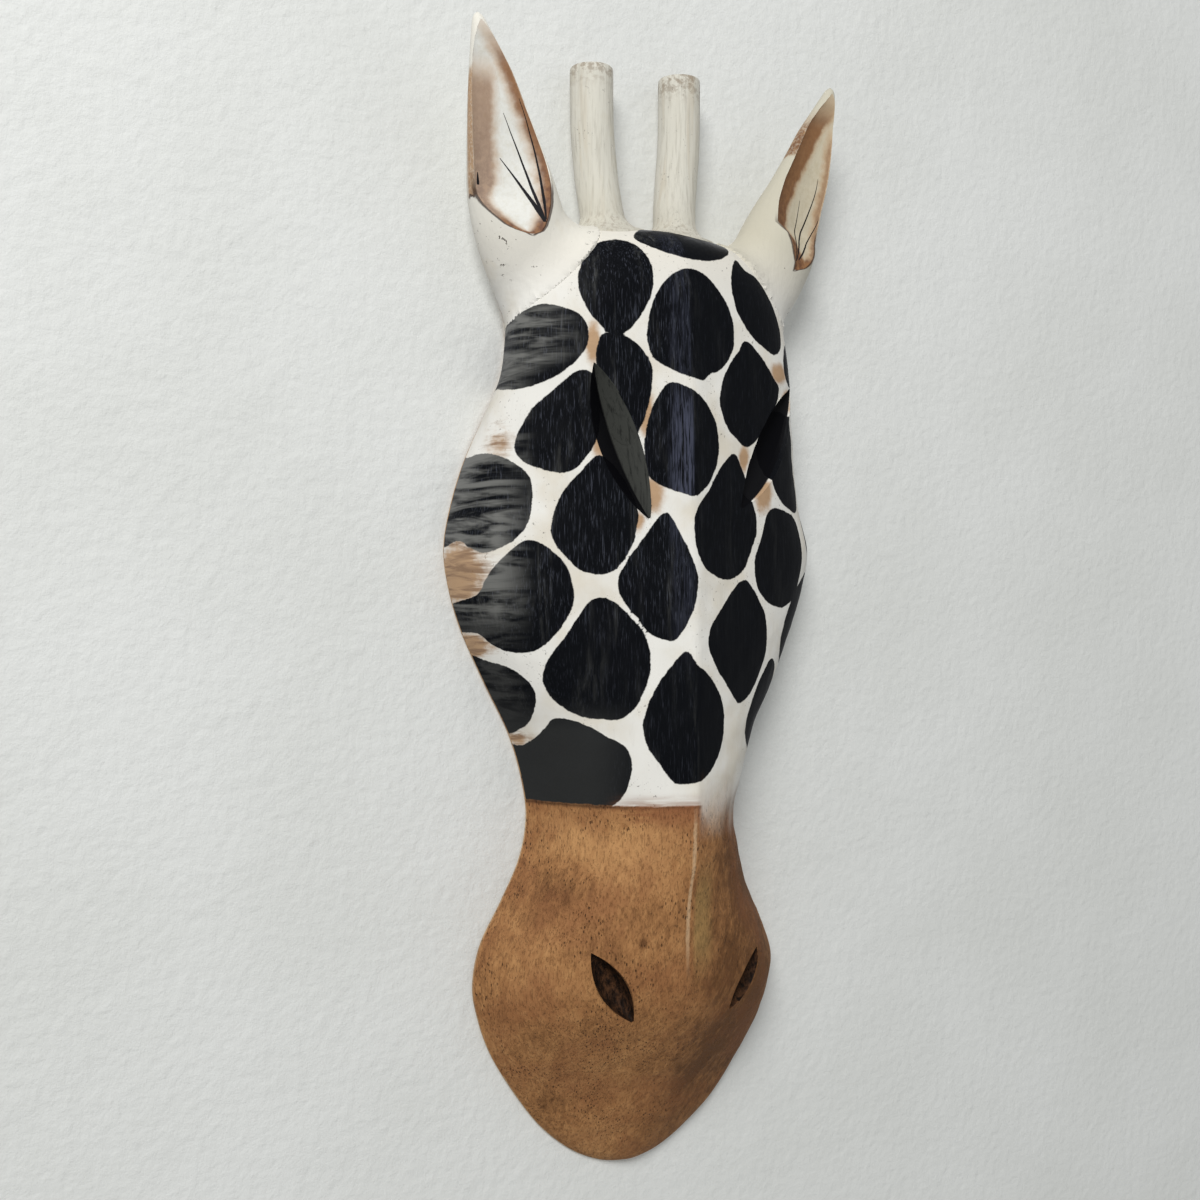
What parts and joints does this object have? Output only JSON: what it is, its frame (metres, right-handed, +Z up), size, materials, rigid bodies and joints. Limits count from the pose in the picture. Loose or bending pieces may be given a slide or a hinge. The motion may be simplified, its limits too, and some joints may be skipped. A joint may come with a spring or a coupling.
{
  "type": "carved animal wall mask",
  "caption": "Hand-carved painted wooden wall mask of a giraffe's head, hollow behind, with pegged ears and horns and a recessed swinging D-ring hanger.",
  "frame": {"origin": "the point on the wall plane where the nail bears on the inside of the hanger ring, level with the lower side of the ring's top", "axes": "+Z up along the mask towards the ears, +X to the viewer's right, +Y into the wall, so the face looks along -Y and the flat back lies in the plane y = 0"},
  "size_m": [0.1886, 0.0575, 0.4987],
  "materials": {
    "painted_head_wood": "matte hand paint: off-white ground, near-black spots, brown stained muzzle",
    "painted_ear_wood": "matte off-white paint with brown airbrushed scoops",
    "painted_horn_wood": "matte off-white paint, dry brushed, slightly dirty at the tops",
    "peg_wood": "raw bamboo",
    "strap_steel": "zinc plated, dull",
    "ring_steel": "zinc plated wire",
    "screw_steel": "zinc plated"
  },
  "bodies": {
    "mask": {"head": "painted_head_wood", "left_ear": "painted_ear_wood", "right_ear": "painted_ear_wood", "left_horn": "painted_horn_wood", "right_horn": "painted_horn_wood", "left_ear_dowel": "peg_wood", "right_ear_dowel": "peg_wood", "left_horn_dowel": "peg_wood", "right_horn_dowel": "peg_wood", "hanger_strap": "strap_steel", "hanger_screw_upper": "screw_steel", "hanger_screw_lower": "screw_steel"},
    "ring": {"hanger_ring": "ring_steel"}
  },
  "joints": [
    {"name": "ring_swing", "type": "hinge", "parent": "mask", "child": "ring", "pos_m": [0, -0.00295, -0.0168], "axis": [-1, 0, 0], "range_deg": [0, 165]}
  ]
}
